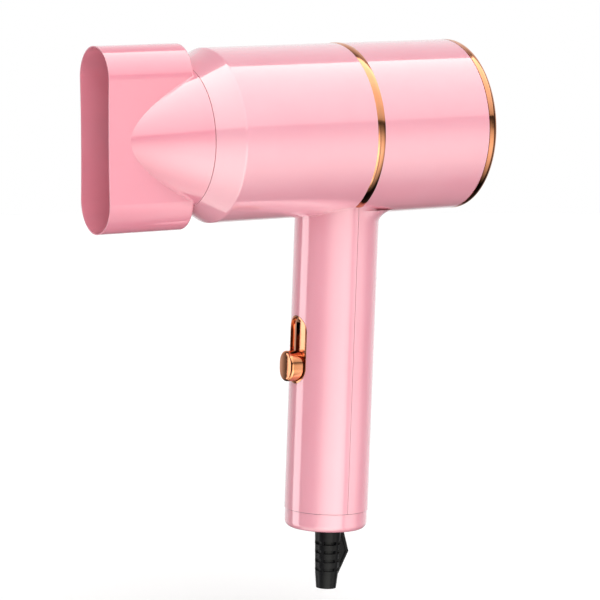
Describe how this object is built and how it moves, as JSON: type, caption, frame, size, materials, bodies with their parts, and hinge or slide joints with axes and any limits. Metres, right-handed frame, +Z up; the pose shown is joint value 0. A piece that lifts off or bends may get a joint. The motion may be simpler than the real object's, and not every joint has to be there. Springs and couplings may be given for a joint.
{
  "type": "travel hair dryer",
  "caption": "Compact T-shaped hair dryer: round barrel with a wide upright concentrator nozzle, metal bands, round handle with slide switch and ribbed cord boot.",
  "frame": {"origin": "on the handle's axis at the middle of the plain grip below the switch, 131 mm below the barrel's axis", "axes": "+Z up, +X along the barrel from the nozzle towards the air intake, +Y across; the handle leans 2.34 degrees, its foot towards the nozzle"},
  "size_m": [0.1661, 0.0704, 0.2273],
  "materials": {
    "shell_pink": "gloss",
    "nozzle_pink": "gloss",
    "rose_gold": "polished",
    "grille_pink": "satin",
    "black_rubber": "matte",
    "dark_nylon": "matte",
    "cream_nylon": "matte",
    "steel": "satin",
    "zinc_steel": "bright",
    "copper": "bright",
    "bronze": "satin",
    "ferrite": "matte",
    "mica": "silky",
    "nichrome": "dull",
    "board_green": "satin",
    "wire_blue": "satin",
    "wire_brown": "satin"
  },
  "bodies": {
    "housing": {"front_shell": "shell_pink", "rear_shell": "shell_pink", "end_cap": "shell_pink", "mid_ring": "rose_gold", "rear_ring": "rose_gold", "switch_bezel": "rose_gold", "intake_grille": "grille_pink", "filter_screen": "steel", "outlet_grille": "dark_nylon", "motor_mount": "cream_nylon", "motor_can": "zinc_steel", "motor_end_bell": "dark_nylon", "motor_magnets": "ferrite", "motor_bearings": "bronze", "heating_coil": "nichrome", "heater_former": "mica", "heater_tube": "mica", "thermostat": "cream_nylon", "thermal_fuse": "steel", "switch_base": "dark_nylon", "circuit_board": "board_green", "diodes": "dark_nylon", "noise_capacitor": "wire_blue", "heater_lead": "wire_brown", "motor_lead": "wire_blue", "strain_relief": "black_rubber", "cord_clamp": "cream_nylon", "body_screws": "zinc_steel", "clamp_screws": "zinc_steel"},
    "rotor": {"motor_shaft": "steel", "armature": "steel", "commutator": "copper", "fan": "dark_nylon"},
    "power_switch": {"switch_knob": "rose_gold", "switch_carrier": "cream_nylon"},
    "snap_ring": {"nozzle_snap_ring": "dark_nylon"},
    "nozzle": {"nozzle_body": "nozzle_pink"}
  },
  "joints": [
    {"name": "fan_spin", "type": "hinge", "parent": "housing", "child": "rotor", "pos_m": [0.03685, 0, 0.13089], "axis": [1, 0, 0], "continuous": true},
    {"name": "power_slide", "type": "slide", "parent": "housing", "child": "power_switch", "axis": [0.0408, 0, 0.9992], "range_m": [0, 0.01]},
    {"name": "nozzle_turn", "type": "hinge", "parent": "housing", "child": "snap_ring", "pos_m": [-0.06515, 0, 0.13089], "axis": [1, 0, 0], "continuous": true},
    {"name": "nozzle_pull", "type": "slide", "parent": "snap_ring", "child": "nozzle", "axis": [-1, 0, 0], "range_m": [0, 0.06]}
  ]
}
